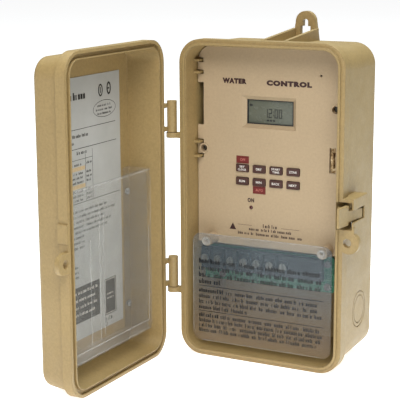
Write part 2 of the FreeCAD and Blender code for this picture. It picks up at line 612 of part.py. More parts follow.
# display, lamp and the electronics behind the panel
keep(brick("lcd_display", ("GlassX-20.9", -45.9, "GlassZ-11"), (41.8, 1.6, 22.0)), "lcd_display")
gasket = Solid("lcd_gasket")
gasket.grow("XZ", ("GlassX", "GlassZ", 45.92),
            (("rect", 41.8, 22.0), ("rect", "GlassWide-1.5", "GlassHigh-1.3")), 1.04)
keep(gasket.body, "lcd_gasket")
strips = []
for tag, high in (("a", 8.6), ("b", -10.6)):
    strips.append(brick("strip_" + tag, ("GlassX-19", -44.26, "GlassZ%+g" % high), (38.0, 0.6, 2.0)))
keep(group("lcd_contacts", strips), "lcd_contacts")
lamp = Solid("power_led")
lamp.grow("XZ", (-16.2, -6.2, 43.6), ("disc", 1.9), 1.0)
lamp.grow("XZ", (-16.2, -6.2, 43.6), ("disc", 1.5), 6.9)
lamp.soften(lambda b: b.YMax < -50.4, 1.1)
keep(lamp.body, "power_led")
LOGIC_HOLES = [(x, z) for x in (-45.0, 42.0) for z in (106.0, -6.0)]
POWER_HOLES = [(x, z) for x in (-45.0, 45.0) for z in (-30.0, 88.0)]
keep(build_board("logic_board", (-1.5, 49.0, 42.0), (97.0, 124.0), LOGIC_HOLES, 1.2).body, "logic_board")
keep(build_board("power_board", (-2.1, 31.0, 22.4), (101.0, 134.0), POWER_HOLES, 1.6).body, "power_board")
keep(build_board("terminal_board", (-5.4, -55.0, 39.4), (111.2, 28.0), FIELD_HOLES, 1.6).body,
     "terminal_board")
keep(brick("microcontroller", (-12.0, -41.98, 24.0), (14.0, 1.6, 14.0)), "microcontroller")
keep(rod("backup_battery", (22.0, -41.98, 40.0), 10.0, 4.4), "backup_battery")
keep(brick("reset_switch", (37.8, -46.4, 95.4), (6.0, 2.78, 6.0)), "reset_switch")
keep(brick("relay", (-44.0, -39.8, 4.0), (27.6, 15.78, 13.0)), "relay")
core = brick("transformer_core", (-16.0, -39.0, 52.0), (36.0, 12.0, 12.0))
coil = brick("transformer_coil", (-9.0, -40.6, 46.0), (22.0, 16.58, 24.0))
keep(join("transformer", [core, coil]), "transformer")
caps = []
for tag, x in (("a", -32.0), ("b", -20.5)):
    caps.append(rod("capacitor_" + tag, (x, -39.6, 84.0), 5.0, 15.58))
keep(group("capacitors", caps), "capacitors")
ribbon = [brick("ribbon_front", (-4.0, -41.98, -8.0), (22.0, 7.0, 0.9)),
          brick("ribbon_drop", (-4.0, -35.9, -20.0), (22.0, 0.9, 12.9)),
          brick("ribbon_rear", (-4.0, -35.9, -20.0), (22.0, 11.88, 0.9))]
keep(join("ribbon_cable", ribbon), "ribbon_cable")

# field terminals on their own board
block = Solid("terminal_block")
block.grow("XZ", ("TermFirst+3*TermPitch", "TermZ", 41.02), ("rect", "7*TermPitch-3.6", 17.0), 4.9)
block.grow("XZ", (27.85, "TermZ", 41.02), ("rect", 27.9, 17.0), 4.9)
for count in range(1, 7):
    block.grow("XZ", ("TermFirst+%g*TermPitch" % (count - 0.5), "TermZ", 45.0), ("rect", 1.3, 17.0), 5.4)
for count in range(7):
    block.cut("XZ", ("TermFirst+%d*TermPitch" % count, "TermZ", 42.0), ("disc", 1.75), 6.0)
keep(block.body, "terminal_block")
plates = []
for count in range(7):
    plate = Solid("plate_%d" % count)
    plate.grow("XZ", ("TermFirst+%d*TermPitch" % count, "TermZ", 45.94), ("rect", 7.6, 10.0), 0.9)
    plate.cut("XZ", ("TermFirst+%d*TermPitch" % count, "TermZ", 45.0), ("disc", 1.75), 3.0)
    plates.append(plate.body)
keep(group("terminal_plates", plates), "terminal_plates")
heads = []
for count in range(7):
    heads.append(screw("terminal_screw_%d" % count, "TermFirst+%d*TermPitch" % count, "TermZ", 46.86, 42.4,
                       3.0, 2.0, 1.68, 0.9))
keep(group("terminal_screws", heads), "terminal_screws")

# fixings
keep(group("faceplate_screws", [screw("faceplate_screw_a", -57.0, 37.6, 43.62, 18.0, 2.6, 2.0, 1.25, 0.8),
                                screw("faceplate_screw_b", 52.8, 73.8, 43.62, 18.0, 2.6, 2.0, 1.25, 0.8)]),
     "faceplate_screws")


def rear_screw(name, x, z, seat, reach, head, tall, shank):
    """A screw that enters from behind: the head is behind depth seat."""
    one = Solid(name)
    one.grow("XZ", (x, z, seat - tall), ("disc", head), tall)
    one.grow("XZ", (x, z, seat - 0.3), ("disc", shank), reach - seat + 0.3)
    return one.body


keep(group("logic_board_screws", [rear_screw("logic_screw_%d" % i, x, z, 41.98, 46.6, 2.2, 1.5, 0.9)
                                  for i, (x, z) in enumerate(LOGIC_HOLES)]), "logic_board_screws")
keep(group("power_board_screws", [screw("power_screw_%d" % i, x, z, 24.02, 12.5, 2.7, 1.9, 1.15, 0.8)
                                  for i, (x, z) in enumerate(POWER_HOLES)]), "power_board_screws")
keep(group("terminal_board_screws", [screw("field_screw_%d" % i, x, z, 41.02, 29.5, 2.7, 1.6, 1.15, 0.8)
                                     for i, (x, z) in enumerate(FIELD_HOLES)]), "terminal_board_screws")
clip = join("retaining_clip", [brick("clip_base", (48.2, -47.9, 24.6), (5.4, 0.7, 22.0)),
                               brick("clip_hook", (50.0, -50.9, 29.6), (2.0, 3.2, 12.0))])
keep(clip, "retaining_clip")

# clear sheet over the terminals, and its two push rivets
guard = Solid("wiring_guard")
guard.grow("XZ", (-1.6, "SheetMid", "SheetFace-SheetThick"),
           ("round", "SheetWide", "SheetHigh", "SheetRound"), "SheetThick")
for x in (-48.6, 48.6):
    guard.cut("XZ", (x, -33.2, 61.0), ("disc", 1.3), 4.0)
keep(guard.body, "wiring_guard")
keep(group("guard_rivets", [screw("guard_rivet_a", -48.6, -33.2, 63.52, 55.0, 3.2, 1.3, 1.2, 0.7),
                            screw("guard_rivet_b", 48.6, -33.2, 63.52, 55.0, 3.2, 1.3, 1.2, 0.7)]),
     "guard_rivets")

# what rides on the door
pouch = keep(build_pouch().body, "document_pouch")
paper = Solid("door_label")
paper.grow("XZ", (1.0, 3.0, 97.06), ("rect", "LabelWide", "LabelHigh"), "LabelThick")
label = keep(paper.body, "door_label")
rivets = []
for i, (x, z) in enumerate([(x, z) for x in (-53.2, 53.2) for z in (-84.0, 6.0)]):
    one = Solid("pouch_rivet_%d" % i)
    one.grow("XZ", (x, z, 95.9), ("disc", 1.2), 2.9)
    one.grow("XZ", (x, z, 94.98), ("disc", 2.6), 1.1)
    rivets.append(one.body)
rivets = keep(group("pouch_rivets", rivets), "pouch_rivets")

doc.recompute()
swing = Placement(Vector(0, 0, 0), Rotation(Vector(0, 0, 1), -90), Vector(DIM["HingeX"], DIM["HingeY"], 0))
for thing in (door, pouch, label, rivets):
    thing.Placement = swing
doc.recompute()

# ------------------------------------------------------------ checks, export
for thing in doc.Objects:
    if "Invalid" in thing.State or "Error" in thing.State:
        raise RuntimeError("object %s is in state %s" % (thing.Label, thing.State))
for thing, name in SHAPES:
    shape = thing.Shape
    if shape.isNull() or not shape.isValid() or not shape.Solids:
        raise RuntimeError("no sound solid in " + name)
    shape.exportStep("parts/%s.step" % name)
    box = shape.BoundBox
    print("%-20s solids %d  X %.1f..%.1f  Y %.1f..%.1f  Z %.1f..%.1f  volume %.0f" % (
        name, len(shape.Solids), box.XMin, box.XMax, box.YMin, box.YMax, box.ZMin, box.ZMax, shape.Volume))
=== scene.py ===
"""Looks of the outdoor timer controller: finishes, printing, creases and studio."""

import math
import random

import bpy
from mathutils import Matrix, Vector


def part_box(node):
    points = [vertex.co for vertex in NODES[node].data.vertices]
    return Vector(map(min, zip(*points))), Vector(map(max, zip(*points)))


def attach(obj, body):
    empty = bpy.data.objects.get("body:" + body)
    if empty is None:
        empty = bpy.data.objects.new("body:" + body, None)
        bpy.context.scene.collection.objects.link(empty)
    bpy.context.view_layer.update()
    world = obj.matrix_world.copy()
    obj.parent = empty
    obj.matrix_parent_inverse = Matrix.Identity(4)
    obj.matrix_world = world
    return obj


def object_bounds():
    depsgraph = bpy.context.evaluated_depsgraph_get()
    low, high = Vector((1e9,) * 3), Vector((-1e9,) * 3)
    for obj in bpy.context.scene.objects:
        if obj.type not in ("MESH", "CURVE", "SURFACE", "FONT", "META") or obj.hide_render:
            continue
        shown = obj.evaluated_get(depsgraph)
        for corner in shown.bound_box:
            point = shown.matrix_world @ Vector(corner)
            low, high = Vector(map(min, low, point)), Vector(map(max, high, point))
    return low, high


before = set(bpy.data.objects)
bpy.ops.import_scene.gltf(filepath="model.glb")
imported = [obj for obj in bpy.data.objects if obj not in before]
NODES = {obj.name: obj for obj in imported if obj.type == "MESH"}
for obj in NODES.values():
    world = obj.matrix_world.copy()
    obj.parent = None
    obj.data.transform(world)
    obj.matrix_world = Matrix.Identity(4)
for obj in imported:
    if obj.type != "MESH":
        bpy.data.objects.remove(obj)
cad_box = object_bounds()

MM = 0.001
# nearly all values of a noise texture lie between these two
NOISE_SPAN = (0.3, 0.7)


# ------------------------------------------------------------------ materials
def lin(*rgb):
    """Display colour (0-255) to the linear colour that shaders use."""
    out = []
    for v in rgb:
        v = v / 255.0
        out.append(v / 12.92 if v <= 0.04045 else ((v + 0.055) / 1.055) ** 2.4)
    return (*out, 1.0)


def shade(colour, factor):
    return tuple(min(1.0, c * factor) for c in colour[:3]) + (1.0,)


class Finish:
    """A procedural material built up step by step."""

    def __init__(self, name):
        self.mat = bpy.data.materials.new(name)
        self.mat.use_nodes = True
        self.tree = self.mat.node_tree
        self.bsdf = self.tree.nodes["Principled BSDF"]
        self.coord = self.tree.nodes.new("ShaderNodeTexCoord")

    def node(self, kind, **values):
        """A new node. A value goes to the input of that name (_ for a space), or else to a setting."""
        n = self.tree.nodes.new(kind)
        for key, value in values.items():
            socket = key.replace("_", " ")
            if socket in n.inputs:
                n.inputs[socket].default_value = value
            else:
                setattr(n, key, value)
        return n

    def link(self, a, b):
        self.tree.links.new(a, b)

    def set(self, **values):
        """Constants on the shader's own sockets."""
        for key, value in values.items():
            self.bsdf.inputs[key.replace("_", " ")].default_value = value

    def place(self, axis):
        """How far along "X", "Y" or "Z" a point lies, in metres."""
        split = self.node("ShaderNodeSeparateXYZ")
        self.link(self.coord.outputs["Object"], split.inputs["Vector"])
        return split.outputs[axis]

    def noise(self, scale, detail=3.0, rough=0.55, stretch=None):
        n = self.node("ShaderNodeTexNoise", Scale=scale, Detail=detail, Roughness=rough)
        if stretch:
            m = self.node("ShaderNodeMapping", Scale=stretch)
            self.link(self.coord.outputs["Object"], m.inputs["Vector"])
            self.link(m.outputs["Vector"], n.inputs["Vector"])
        else:
            self.link(self.coord.outputs["Object"], n.inputs["Vector"])
        return n.outputs["Fac"]

    def remap(self, value, source, target=(0.0, 1.0), curve="LINEAR"):
        """The value with its source range carried over to the target range, and held at the ends."""
        m = self.node("ShaderNodeMapRange", interpolation_type=curve, From_Min=source[0],
                      From_Max=source[1], To_Min=target[0], To_Max=target[1])
        self.link(value, m.inputs["Value"])
        return m.outputs["Result"]

    def add_share(self, value, share, base):
        """base + share * value."""
        m = self.node("ShaderNodeMath", operation="MULTIPLY_ADD")
        m.inputs[1].default_value = share
        self.link(value, m.inputs[0])
        self.link(base, m.inputs[2])
        return m.outputs["Value"]

    def colour(self, factor, stops):
        """Base colour from a ramp with (place, colour) stops."""
        r = self.node("ShaderNodeValToRGB")
        while len(r.color_ramp.elements) < len(stops):
            r.color_ramp.elements.new(0.5)
        for e, (place, colour) in zip(r.color_ramp.elements, stops):
            e.position = place
            e.color = colour
        self.link(factor, r.inputs["Fac"])
        self.link(r.outputs["Color"], self.bsdf.inputs["Base Color"])

    def between(self, factor, dark, pale):
        """Base colour that goes from dark to pale with a noise."""
        self.colour(factor, list(zip(NOISE_SPAN, (dark, pale))))

    def mottle(self, factor, colour, vary):
        """Base colour that a noise makes darker and paler by the share vary."""
        self.between(factor, shade(colour, 1 - vary), shade(colour, 1 + vary))

    def rough(self, factor, low, high):
        """Roughness that goes from low to high with a noise."""
        self.link(self.remap(factor, NOISE_SPAN, (low, high)), self.bsdf.inputs["Roughness"])

    def bump(self, factor, distance, strength, edge=0.0):
        """Relief of a height in metres; edges are shaded as rounded by the radius edge."""
        b = self.node("ShaderNodeBump", Strength=strength, Distance=distance)
        self.link(factor, b.inputs["Height"])
        if edge:
            e = self.node("ShaderNodeBevel", samples=4, Radius=edge)
            self.link(e.outputs["Normal"], b.inputs["Normal"])
        self.link(b.outputs["Normal"], self.bsdf.inputs["Normal"])


def plastic(name, colour, rough=(0.42, 0.56), vary=0.10, grain=1600.0, depth=0.00002, edge=0.0005,
            patches=14.0, speckle=0.0):
    """Moulded plastic: faint flow patches, fine spark grain and softly rounded edges."""
    f = Finish(name)
    broad = f.noise(patches, detail=4.0, rough=0.6)
    if speckle:
        mix = f.node("ShaderNodeMix", data_type="FLOAT", Factor=speckle)
        f.link(broad, mix.inputs["A"])
        f.link(f.noise(520.0, detail=2.0, rough=0.7), mix.inputs["B"])
        broad = mix.outputs["Result"]
    f.mottle(broad, colour, vary)
    f.rough(f.noise(90.0, detail=4.0), *rough)
    f.bump(f.noise(grain, detail=2.0), distance=depth, strength=0.8, edge=edge)
    return f


def metal(name, colour, rough=(0.22, 0.4), stretch=None):
    """Bare metal with a fine grain, which stretch draws out along one axis."""
    f = Finish(name)
    grain = f.noise(900.0, detail=4.0, rough=0.6, stretch=stretch)
    f.mottle(grain, colour, vary=0.12)
    f.rough(f.noise(350.0), *rough)
    f.bump(grain, distance=0.00001, strength=0.6, edge=0.0002)
    f.set(Metallic=1.0)
    return f


def ink(name, colour, vary=0.12):
    """Screen-printed ink with slightly uneven cover."""
    f = Finish(name)
    f.mottle(f.noise(700.0), colour, vary)
    f.rough(f.noise(300.0), 0.42, 0.58)
    return f


def clear(name, colour, veil, rough, edge_gain, foot=None, span=None):
    """A clear sheet seen as a thin veil, cloudier in patches and where it is seen at a slant.

    veil is the lowest and highest cover of the patches. With a foot colour the sheet runs from
    that colour at the height span[0] to the given colour at the height span[1]; this change with
    height is painted light, not a change in the sheet's tint.
    """
    f = Finish(name)
    clouds = f.noise(40.0)
    if foot:
        waver = f.add_share(clouds, 0.3, f.remap(f.place("Z"), span))
        f.colour(waver, [(0.15, foot), (1.0, colour)])
    else:
        f.mottle(clouds, colour, vary=0.1)
    f.rough(f.noise(120.0), rough - 0.06, rough + 0.1)
    cover = f.remap(f.noise(22.0, detail=4.0, rough=0.6), NOISE_SPAN, veil)
    facing = f.node("ShaderNodeLayerWeight", Blend=0.35)
    f.link(f.add_share(facing.outputs["Facing"], edge_gain, cover), f.bsdf.inputs["Alpha"])
    f.bump(f.noise(30.0, detail=2.0), distance=0.0002, strength=0.35)
    return f


def board_finish():
    """Green laminate with a grid of paler tracks under the mask."""
    f = Finish("board_laminate")
    tracks = f.node("ShaderNodeTexBrick", Scale=55.0, Mortar_Size=0.012, Color1=lin(18, 92, 62),
                    Color2=lin(24, 110, 74), Mortar=lin(72, 140, 96))
    turn = f.node("ShaderNodeMapping", Rotation=(math.pi / 2, 0, 0))
    f.link(f.coord.outputs["Object"], turn.inputs["Vector"])
    f.link(turn.outputs["Vector"], tracks.inputs["Vector"])
    f.link(tracks.outputs["Color"], f.bsdf.inputs["Base Color"])
    f.rough(f.noise(200.0), 0.28, 0.42)
    f.bump(tracks.outputs["Fac"], distance=0.00003, strength=0.5)
    return f


def lamp_finish():
    """Dark red lens of the pilot lamp, unlit."""
    f = Finish("lamp_red")
    f.between(f.noise(900.0), lin(56, 12, 9), lin(84, 18, 13))
    f.rough(f.noise(300.0), 0.12, 0.2)
    f.set(Coat_Weight=0.6, Coat_Roughness=0.08)
    return f


def display_finish():
    """Grey-green display: a faint polariser grain under clear glass."""
    f = Finish("display_glass")
    f.between(f.noise(60.0, detail=4.0), lin(84, 87, 74), lin(97, 99, 86))
    f.rough(f.noise(200.0), 0.2, 0.3)
    f.bump(f.noise(2600.0, detail=1.0), distance=0.000006, strength=0.4)
    f.set(Coat_Weight=0.35, Coat_Roughness=0.12)
    return f


def clip_finish():
    """Spring bronze that has darkened and spotted."""
    f = Finish("clip_bronze")
    f.colour(f.noise(340.0, detail=5.0, rough=0.75),
             [(0.38, lin(74, 48, 28)), (0.50, lin(160, 128, 86)), (0.62, lin(222, 202, 164))])
    f.rough(f.noise(500.0, detail=4.0), 0.3, 0.6)
    f.bump(f.noise(700.0, detail=4.0), distance=0.00005, strength=0.8)
    f.set(Metallic=0.8)
    return f


def paper_finish():
    """White label film, slightly greyed."""
    f = Finish("label_paper")
    f.between(f.noise(35.0, detail=4.0), lin(172, 171, 165), lin(182, 181, 176))
    f.rough(f.noise(150.0), 0.42, 0.55)
    f.bump(f.noise(500.0, detail=2.0), distance=0.00003, strength=0.4)
    return f


case_tan = plastic("case_tan", lin(155, 130, 84), vary=0.16, grain=900.0, depth=0.00004, edge=0.0007,
                   speckle=0.6)
panel_beige = plastic("panel_beige", lin(177, 154, 122), rough=(0.5, 0.62), vary=0.08, grain=1400.0,
                      edge=0.0003, speckle=0.6)
key_maroon = plastic("key_maroon", lin(68, 38, 30), rough=(0.45, 0.6), vary=0.14, grain=2500.0, edge=0.0004,
                     patches=160.0)
rubber = plastic("mat_rubber", lin(60, 58, 56), rough=(0.7, 0.85), grain=900.0)
contact = plastic("contact_rubber", lin(34, 34, 34), rough=(0.7, 0.85), grain=900.0)
chip = plastic("chip_plastic", lin(26, 26, 27), rough=(0.4, 0.55), grain=2600.0)
switch = plastic("switch_plastic", lin(34, 34, 36), rough=(0.4, 0.5), grain=2600.0)
relay = plastic("relay_plastic", lin(40, 66, 120), rough=(0.35, 0.5), grain=2600.0)
ribbon = plastic("ribbon_plastic", lin(150, 150, 152), rough=(0.4, 0.55), grain=1200.0)
terminal = plastic("terminal_plastic", lin(40, 41, 46), rough=(0.35, 0.5), grain=2200.0)
iron = plastic("transformer_iron", lin(66, 58, 50), rough=(0.45, 0.6), grain=1400.0)
sleeve = plastic("capacitor_sleeve", lin(30, 32, 40), rough=(0.25, 0.4), grain=2200.0)

pin_steel = metal("pin_steel", lin(170, 168, 164), stretch=(1.0, 1.0, 0.1))
screw_steel = metal("screw_steel", lin(150, 146, 138), rough=(0.3, 0.5))
dull_steel = metal("spring_steel", lin(112, 108, 102), rough=(0.35, 0.5))
battery = metal("battery_steel", lin(186, 186, 184), rough=(0.2, 0.35))

block_red = ink("block_red", lin(104, 26, 19))
print_maroon = ink("print_maroon", lin(50, 18, 16))
print_black = ink("print_black", lin(22, 19, 18))
print_white = ink("print_white", lin(225, 218, 208), vary=0.05)
print_pink = ink("print_pink", lin(205, 120, 108))
print_grey = ink("print_grey", lin(54, 53, 52))
print_tan = ink("print_tan", lin(196, 172, 134))

# the guard is tan towards its foot and blue-grey higher up; the blue-grey is partly its smoky tint and
# partly painted reflection
guard_clear = clear("guard_clear", lin(116, 128, 134), veil=(0.16, 0.26), rough=0.22, edge_gain=0.10,
                    foot=lin(160, 136, 108), span=(-0.112, -0.045))
pouch_clear = clear("pouch_clear", lin(158, 155, 148), veil=(0.03, 0.18), rough=0.14, edge_gain=0.10)
# finish of the clear rivets, and also of the pale strips that paint highlights on the pouch and the guard
clear_rivets_and_highlights = clear("clear_rivets_and_highlights", lin(214, 212, 206), veil=(0.10, 0.20), rough=0.10, edge_gain=0.35)

board = board_finish()
lamp = lamp_finish()
display = display_finish()
clip = clip_finish()
paper = paper_finish()

DRESS = {
    "box_shell": case_tan,
    "door_shell": case_tan,
    "latch_hasp": case_tan,
    "hinge_pins": case_tan,
    "faceplate": panel_beige,
    "faceplate_screws": dull_steel,
    "latch_pin": pin_steel,
    "latch_spring": dull_steel,
    "keypad_mat": rubber,
    "lcd_display": display,
    # black gasket round the display: a real frame, whose darkness also stands in as painted shade of the
    # window's recess
    "lcd_gasket": contact,
    "lcd_contacts": contact,
    "power_led": lamp,
    "logic_board": board,
    "logic_board_screws": screw_steel,
    "power_board": board,
    "power_board_screws": screw_steel,
    "terminal_board": board,
    "terminal_board_screws": dull_steel,
    "microcontroller": chip,
    "backup_battery": battery,
    "reset_switch": switch,
    "relay": relay,
    "transformer": iron,
    "capacitors": sleeve,
    "ribbon_cable": ribbon,
    "terminal_block": terminal,
    "terminal_plates": terminal,
    "terminal_screws": screw_steel,
    "retaining_clip": clip,
    "wiring_guard": guard_clear,
    "guard_rivets": clear_rivets_and_highlights,
    "document_pouch": pouch_clear,
    "pouch_rivets": clear_rivets_and_highlights,
    "door_label": paper,
}
for number in range(1, 9):
    DRESS["key_%d" % number] = key_maroon
for name, finish in DRESS.items():
    slots = NODES[name].data.materials
    slots.clear()
    slots.append(finish.mat)


# ------------------------------------------------------------------- printing
# fine print: how many letters a word has, and its measures as shares of the line height
WORD_LENGTHS = (2, 3, 4, 5, 6, 7, 8)
LETTER_WIDTHS = (0.36, 0.46, 0.5, 0.52)
LETTER_HEIGHTS = (0.66, 0.66, 0.7, 0.98)
SMALL_HEIGHT = 0.68
MIDDLE = 0.55
STEM = 0.15
LETTER_GAP = 0.14
WORD_GAPS = (0.45, 0.55, 0.7)
# how far the printed faces of the panel and of the clear sheet stand in front of the wall, in mm
PANEL_FACE = 50.0
GUARD_FACE = 63.5


def on_front(depth):
    """Places (u, v, lift) in mm on a plane that faces the front: u is X, v is Z."""
    return lambda u, v, lift: Vector((u, -depth - lift, v)) * MM


def on_door(x):
    """Places (u, v, lift) in mm on the open door's inner side: u is Y, v is Z."""
    return lambda u, v, lift: Vector((x + lift, u, v)) * MM


class Print:
    """Thin raised shapes on one plane, gathered into one mesh of closed solids. Measures are in mm."""

    def __init__(self, name, spot, finish, body, lift=0.02, thick=0.03):
        self.name = name
        self.spot = spot
        self.finish = finish
        self.body = body
        self.low = lift
        self.high = lift + thick
        self.verts = []
        self.faces = []

    def layers(self, outline):
        """Adds the points (u, v) at both heights, and gives the number of the first one."""
        base = len(self.verts)
        for lift in (self.low, self.high):
            self.verts += [self.spot(u, v, lift) for u, v in outline]
        return base

    def shape(self, outline):
        """A flat outline, listed anticlockwise in (u, v), raised into a thin solid."""
        base = self.layers(outline)
        n = len(outline)
        self.faces.append([base + i for i in range(n)][::-1])
        self.faces.append([base + n + i for i in range(n)])
        for i in range(n):
            j = (i + 1) % n
            self.faces.append([base + i, base + j, base + n + j, base + n + i])

    def bars(self, *boxes):
        """Upright rectangles, each (u0, v0, u1, v1)."""
        for u0, v0, u1, v1 in boxes:
            self.shape([(u0, v0), (u1, v0), (u1, v1), (u0, v1)])

    def ring(self, u, v, ru, rv, wide, sides=48):
        """An oval line of one width round (u, v); ru and rv are its outer radii."""
        turns = [2 * math.pi * i / sides for i in range(sides)]
        outer = self.layers([(u + ru * math.cos(a), v + rv * math.sin(a)) for a in turns])
        inner = self.layers([(u + (ru - wide) * math.cos(a), v + (rv - wide) * math.sin(a)) for a in turns])
        for i in range(sides):
            j = (i + 1) % sides
            top_i = sides + i
            top_j = sides + j
            self.faces.append([outer + i, outer + j, outer + top_j, outer + top_i])
            self.faces.append([inner + j, inner + i, inner + top_i, inner + top_j])
            self.faces.append([outer + top_i, outer + top_j, inner + top_j, inner + top_i])
            self.faces.append([outer + j, outer + i, inner + i, inner + j])

    def line(self, rng, u0, u1, v, high, bold=1.0, heavy=0):
        """A line of unreadable fine print from u0 to u1 on base line v.

        Its first word has heavy letters, half as bold again, where heavy isn't 0.
        """
        u = u0
        opening = heavy > 0
        while u < u1 - high:
            stem = STEM * high * bold * (1.5 if opening else 1.0)
            cross = stem * 0.8
            middle = v + MIDDLE * high
            count = heavy if opening else rng.choice(WORD_LENGTHS)
            for _ in range(count):
                cell = high * rng.choice(LETTER_WIDTHS)
                if u + cell > u1:
                    return
                tall = high * rng.choice(LETTER_HEIGHTS)
                kind = rng.randrange(4)
                left = u + stem
                right = u + cell - stem
                self.bars((u, v, left, v + tall))
                if kind != 0:
                    self.bars((right, v, u + cell, v + min(tall, SMALL_HEIGHT * high)))
                if kind in (1, 3):
                    self.bars((left, middle, right, middle + cross))
                if kind in (2, 3):
                    self.bars((left, v, right, v + cross))
                u += cell + LETTER_GAP * high
            u += rng.choice(WORD_GAPS) * high
            opening = False

    def words(self, text, u, v, wide, high, bold=0.0, centre=False):
        """Plain generic wording, fitted to a width and a cap height; bolder letters stand further apart."""
        curve = bpy.data.curves.new(self.name + "_text", "FONT")
        curve.body = text
        curve.size = 1.0
        curve.offset = bold
        curve.space_character = 1.0 + 2.4 * bold
        curve.resolution_u = 3
        holder = bpy.data.objects.new(self.name + "_text", curve)
        bpy.context.scene.collection.objects.link(holder)
        bpy.context.view_layer.update()
        depsgraph = bpy.context.evaluated_depsgraph_get()
        flat = bpy.data.meshes.new_from_object(holder.evaluated_get(depsgraph))
        xs = [p.co.x for p in flat.vertices]
        ys = [p.co.y for p in flat.vertices]
        start = u - wide / 2 if centre else u
        across = max(xs) - min(xs)
        upward = max(ys) - min(ys)
        n = len(xs)
        base = self.layers([(start + (x - min(xs)) / across * wide, v + (y - min(ys)) / upward * high)
                            for x, y in zip(xs, ys)])
        edges = {}
        for poly in flat.polygons:
            loop = list(poly.vertices)
            self.faces.append([base + i for i in loop][::-1])
            self.faces.append([base + n + i for i in loop])
            for a, b in zip(loop, loop[1:] + loop[:1]):
                edges[(a, b)] = True
        for a, b in edges:
            if (b, a) not in edges:
                self.faces.append([base + a, base + b, base + n + b, base + n + a])
        bpy.data.objects.remove(holder)
        bpy.data.meshes.remove(flat)

    def done(self):
        data = bpy.data.meshes.new(self.name)
        data.from_pydata([tuple(p) for p in self.verts], [], self.faces)
        data.validate()
        data.update()
        data.materials.append(self.finish.mat)
        thing = bpy.data.objects.new(self.name, data)
        bpy.context.scene.collection.objects.link(thing)
        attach(thing, self.body)


def highlight_pouch_creases():
    """Pressed ridges and folds of the clear document holder, raised in a pale finish that paints highlights
    along them.
    """
    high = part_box("document_pouch")[1]
    # the pale raised lines are painted highlights along the holder's ridges and folds
    crease_highlight = Print("pouch_crease_highlights", on_door(high.x / MM), clear_rivets_and_highlights, "door", lift=-0.05, thick=0.35)
    crease_highlight.bars((-87.5, -95.8, -86.9, -20.0), (-84.0, -101.0, -83.6, 18.0), (-193.0, -96.0, -88.0, -95.5),
              (-191.0, -102.6, -86.0, -102.3), (-170.4, -95.0, -170.0, -14.0), (-157.9, -94.0, -157.5, 6.0),
              (-152.4, -90.0, -152.1, 3.0), (-196.0, 23.6, -84.4, 24.0))
    crease_highlight.done()


def print_panel():
    face = on_front(PANEL_FACE)
    rng = random.Random(7)
    heading = Print("panel_heading", face, print_maroon, "case")
    heading.words("WATER", -40.9, 89.3, 20.6, 4.2, bold=0.085)
    heading.words("CONTROL", -3.6, 89.1, 37.2, 4.2, bold=0.085)
    heading.done()
    note = Print("panel_note", face, print_maroon, "case")
    note.words("ON", -19.2, -2.1, 5.6, 3.4, bold=0.06)
    note.shape([(-34.8, -24.9), (-29.0, -24.9), (-31.9, -19.6)])
    note.bars((-27.5, -20.55, -15.4, -20.3), (9.3, -20.55, 24.6, -20.3))
    note.line(rng, -6.0, 9.3, -21.3, 2.9, bold=1.5)
    note.line(rng, -18.0, 20.2, -24.4, 2.4, bold=1.4)
    note.line(rng, -27.5, 28.6, -28.0, 2.4, bold=1.4)
    note.done()
    blocks = Print("panel_blocks", face, block_red, "case", thick=0.05)
    blocks.bars((-28.9, 28.0, -18.1, 33.8), (-14.7, 5.0, -3.9, 10.9))
    blocks.done()
    marks = Print("panel_block_marks", face, print_pink, "case", lift=0.08)
    marks.words("OFF", -25.6, 29.9, 4.4, 1.9)
    marks.words("AUTO", -12.4, 7.0, 6.2, 1.9)
    marks.done()


KEY_WORDS = {1: ("SET", "CLOCK"), 2: ("DAY",), 3: ("START", "TIME"), 4: ("ZONE",),
             5: ("RUN",), 6: ("MIN",), 7: ("BACK",), 8: ("NEXT",)}


def print_keys():
    for number, lines in KEY_WORDS.items():
        node = "key_%d" % number
        low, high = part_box(node)
        u = (low.x + high.x) / 2 / MM
        v = (low.z + high.z) / 2 / MM
        legend = Print(node + "_legend", on_front(-low.y / MM), print_white, node, lift=0.01)
        if len(lines) == 2:
            letter_wide = 1.45
            letter_high = 1.6
            base_lines = (v + 0.35, v - 1.95)
        else:
            letter_wide = 1.6
            letter_high = 1.8
            base_lines = (v - 0.85,)
        for word, base_line in zip(lines, base_lines):
            legend.words(word, u, base_line, letter_wide * len(word), letter_high, bold=0.02, centre=True)
        legend.done()


# which of the seven strokes a digit lights: a to f clockwise from the top, g in the middle
SEGMENTS = {0: "abcdef", 1: "bc", 2: "abged"}


def print_display():
    """The time 12:00 and a few small marks."""
    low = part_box("lcd_display")[0]
    glass = Print("display_digits", on_front(-low.y / MM), print_black, "case", lift=0.01, thick=0.02)
    wide = 2.7
    tall = 6.8
    stroke = 0.6
    gap = 0.1
    half = tall / 2
    runs = {
        "a": (0, tall - stroke, wide, tall),
        "b": (wide - stroke, half + gap, wide, tall - gap),
        "c": (wide - stroke, gap, wide, half - gap),
        "d": (0, 0, wide, stroke),
        "e": (0, gap, stroke, half - gap),
        "f": (0, half + gap, stroke, tall - gap),
        "g": (0.2, (tall - stroke) / 2, wide - 0.2, (tall + stroke) / 2),
    }
    u = -7.0
    v = 64.0
    for digit in (1, 2, ":", 0, 0):
        if digit == ":":
            glass.bars((u, 65.8, u + 0.6, 66.5), (u, 68.4, u + 0.6, 69.1))
            u += 1.4
            continue
        for key in SEGMENTS[digit]:
            a, b, c, d = runs[key]
            glass.bars((u + a, v + b, u + c, v + d))
        u += wide + 0.8
    glass.bars((-5.0, 61.2, -3.2, 62.5), (-2.5, 61.2, -0.7, 62.5), (0.0, 61.2, 1.8, 62.5),
               (-19.6, 72.3, -17.0, 73.8))
    glass.done()


